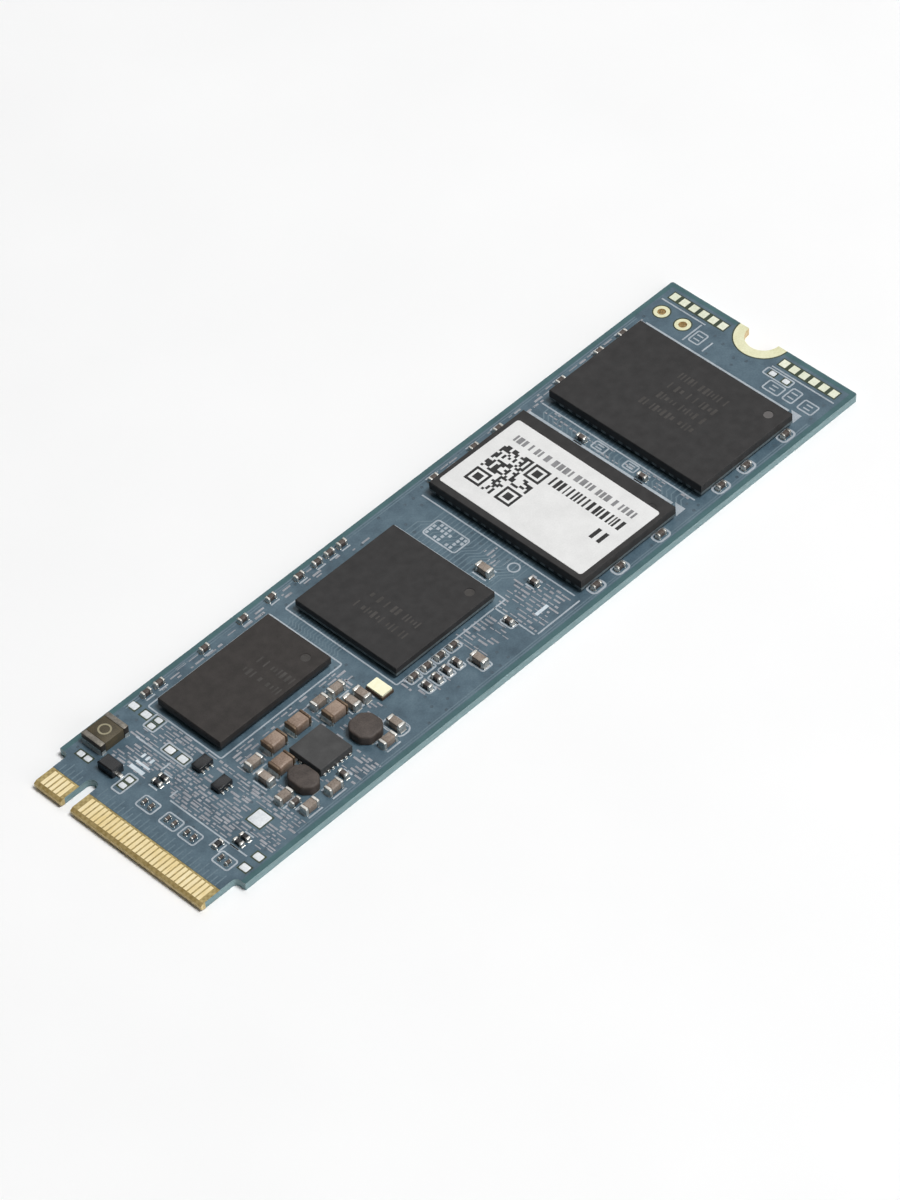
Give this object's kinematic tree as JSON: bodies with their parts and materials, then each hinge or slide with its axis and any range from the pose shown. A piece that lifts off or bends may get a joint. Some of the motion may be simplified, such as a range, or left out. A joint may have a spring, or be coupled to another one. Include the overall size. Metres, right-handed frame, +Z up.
{
  "type": "m.2 nvme solid-state drive",
  "caption": "Slim plug-in solid-state drive: a narrow circuit board with gold edge contacts, a keying notch, flat memory chips and a half-round screw notch.",
  "frame": {"origin": "under the middle of the board, on its underside", "axes": "+Z up out of the chip side, +X from the plug edge to the screw notch, +Y to the side of the keying notch"},
  "size_m": [0.08, 0.022, 0.0023],
  "materials": {
    "board": "satin slate-blue solder mask over glass laminate",
    "gold": "bright gold plating",
    "tin": "bright tin and solder",
    "mould": "fine matte epoxy mould compound",
    "substrate": "cut edge of a resin substrate",
    "label": "smooth white label stock with grey and black print",
    "ferrite": "pressed dark brown powder, matte",
    "capacitor_ceramic": "tan fired ceramic",
    "resistor_coat": "black glassy coat",
    "fuse_body": "olive-brown ceramic",
    "crystal_base": "dark brown ceramic",
    "crystal_lid": "pale gold lid, satin"
  },
  "bodies": {
    "root": {"circuit_board": "board", "contacts_top": "gold", "contacts_bottom": "gold", "mounting_ring": "gold", "header_eyelets": "gold", "service_pads": "gold", "bare_pads": "tin", "flash_front_balls": "tin", "flash_rear_balls": "tin", "controller_balls": "tin", "memory_balls": "tin", "power_chip_leads": "tin", "inductor_pads": "tin", "bulk_capacitor_ends": "tin", "filter_capacitor_ends": "tin", "decoupling_capacitor_ends": "tin", "coupling_capacitor_ends": "tin", "resistor_ends": "tin", "input_fuse_ends": "tin", "clamp_diode_leads": "tin", "support_chip_leads": "tin", "flash_front_mould": "mould", "flash_rear_mould": "mould", "controller_mould": "mould", "memory_mould": "mould", "power_chip": "mould", "clamp_diode": "mould", "support_chips": "mould", "flash_front_substrate": "substrate", "flash_rear_substrate": "substrate", "controller_substrate": "substrate", "memory_substrate": "substrate", "flash_label": "label", "near_inductor": "ferrite", "far_inductor": "ferrite", "bulk_capacitors": "capacitor_ceramic", "filter_capacitors": "capacitor_ceramic", "decoupling_capacitors": "capacitor_ceramic", "coupling_capacitors": "capacitor_ceramic", "resistors": "resistor_coat", "input_fuse": "fuse_body", "crystal_base": "crystal_base", "crystal_lid": "crystal_lid"}
  },
  "joints": []
}
